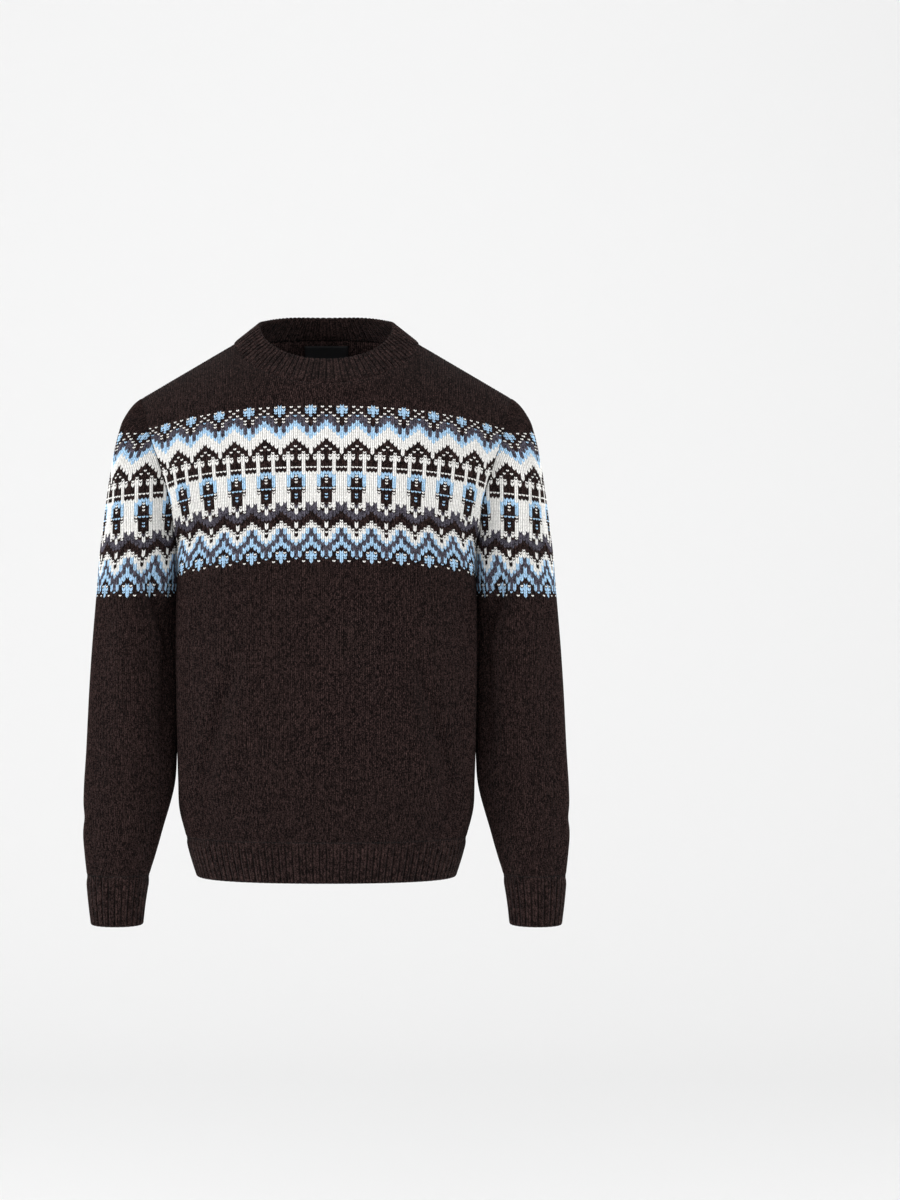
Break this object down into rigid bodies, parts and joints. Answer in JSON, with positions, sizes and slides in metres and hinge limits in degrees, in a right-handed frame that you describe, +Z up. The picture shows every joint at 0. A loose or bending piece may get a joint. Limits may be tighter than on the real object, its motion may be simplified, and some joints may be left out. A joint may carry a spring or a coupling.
{
  "type": "fair isle jumper",
  "caption": "Long-sleeved knitted jumper with a ribbed mock neck, ribbed cuffs and hem, and a Nordic patterned band round the chest and sleeves, filled out as if worn.",
  "frame": {"origin": "middle of the neck opening at the height of the shoulders, on the side seams' plane", "axes": "+Z up out of the neck, the front faces -Y, the wearer's left is +X"},
  "size_m": [0.6042, 0.246, 0.7643],
  "materials": {
    "knit": "heathered wool knit, dark brown with a cream, light blue and charcoal band",
    "rib": "heathered dark brown wool rib",
    "label": "black woven satin, blank"
  },
  "bodies": {
    "root": {"front": "knit", "back": "knit", "sleeve_left": "knit", "sleeve_right": "knit", "neck_rib": "rib", "hem_rib": "rib", "cuff_left": "rib", "cuff_right": "rib", "neck_label": "label"}
  },
  "joints": []
}
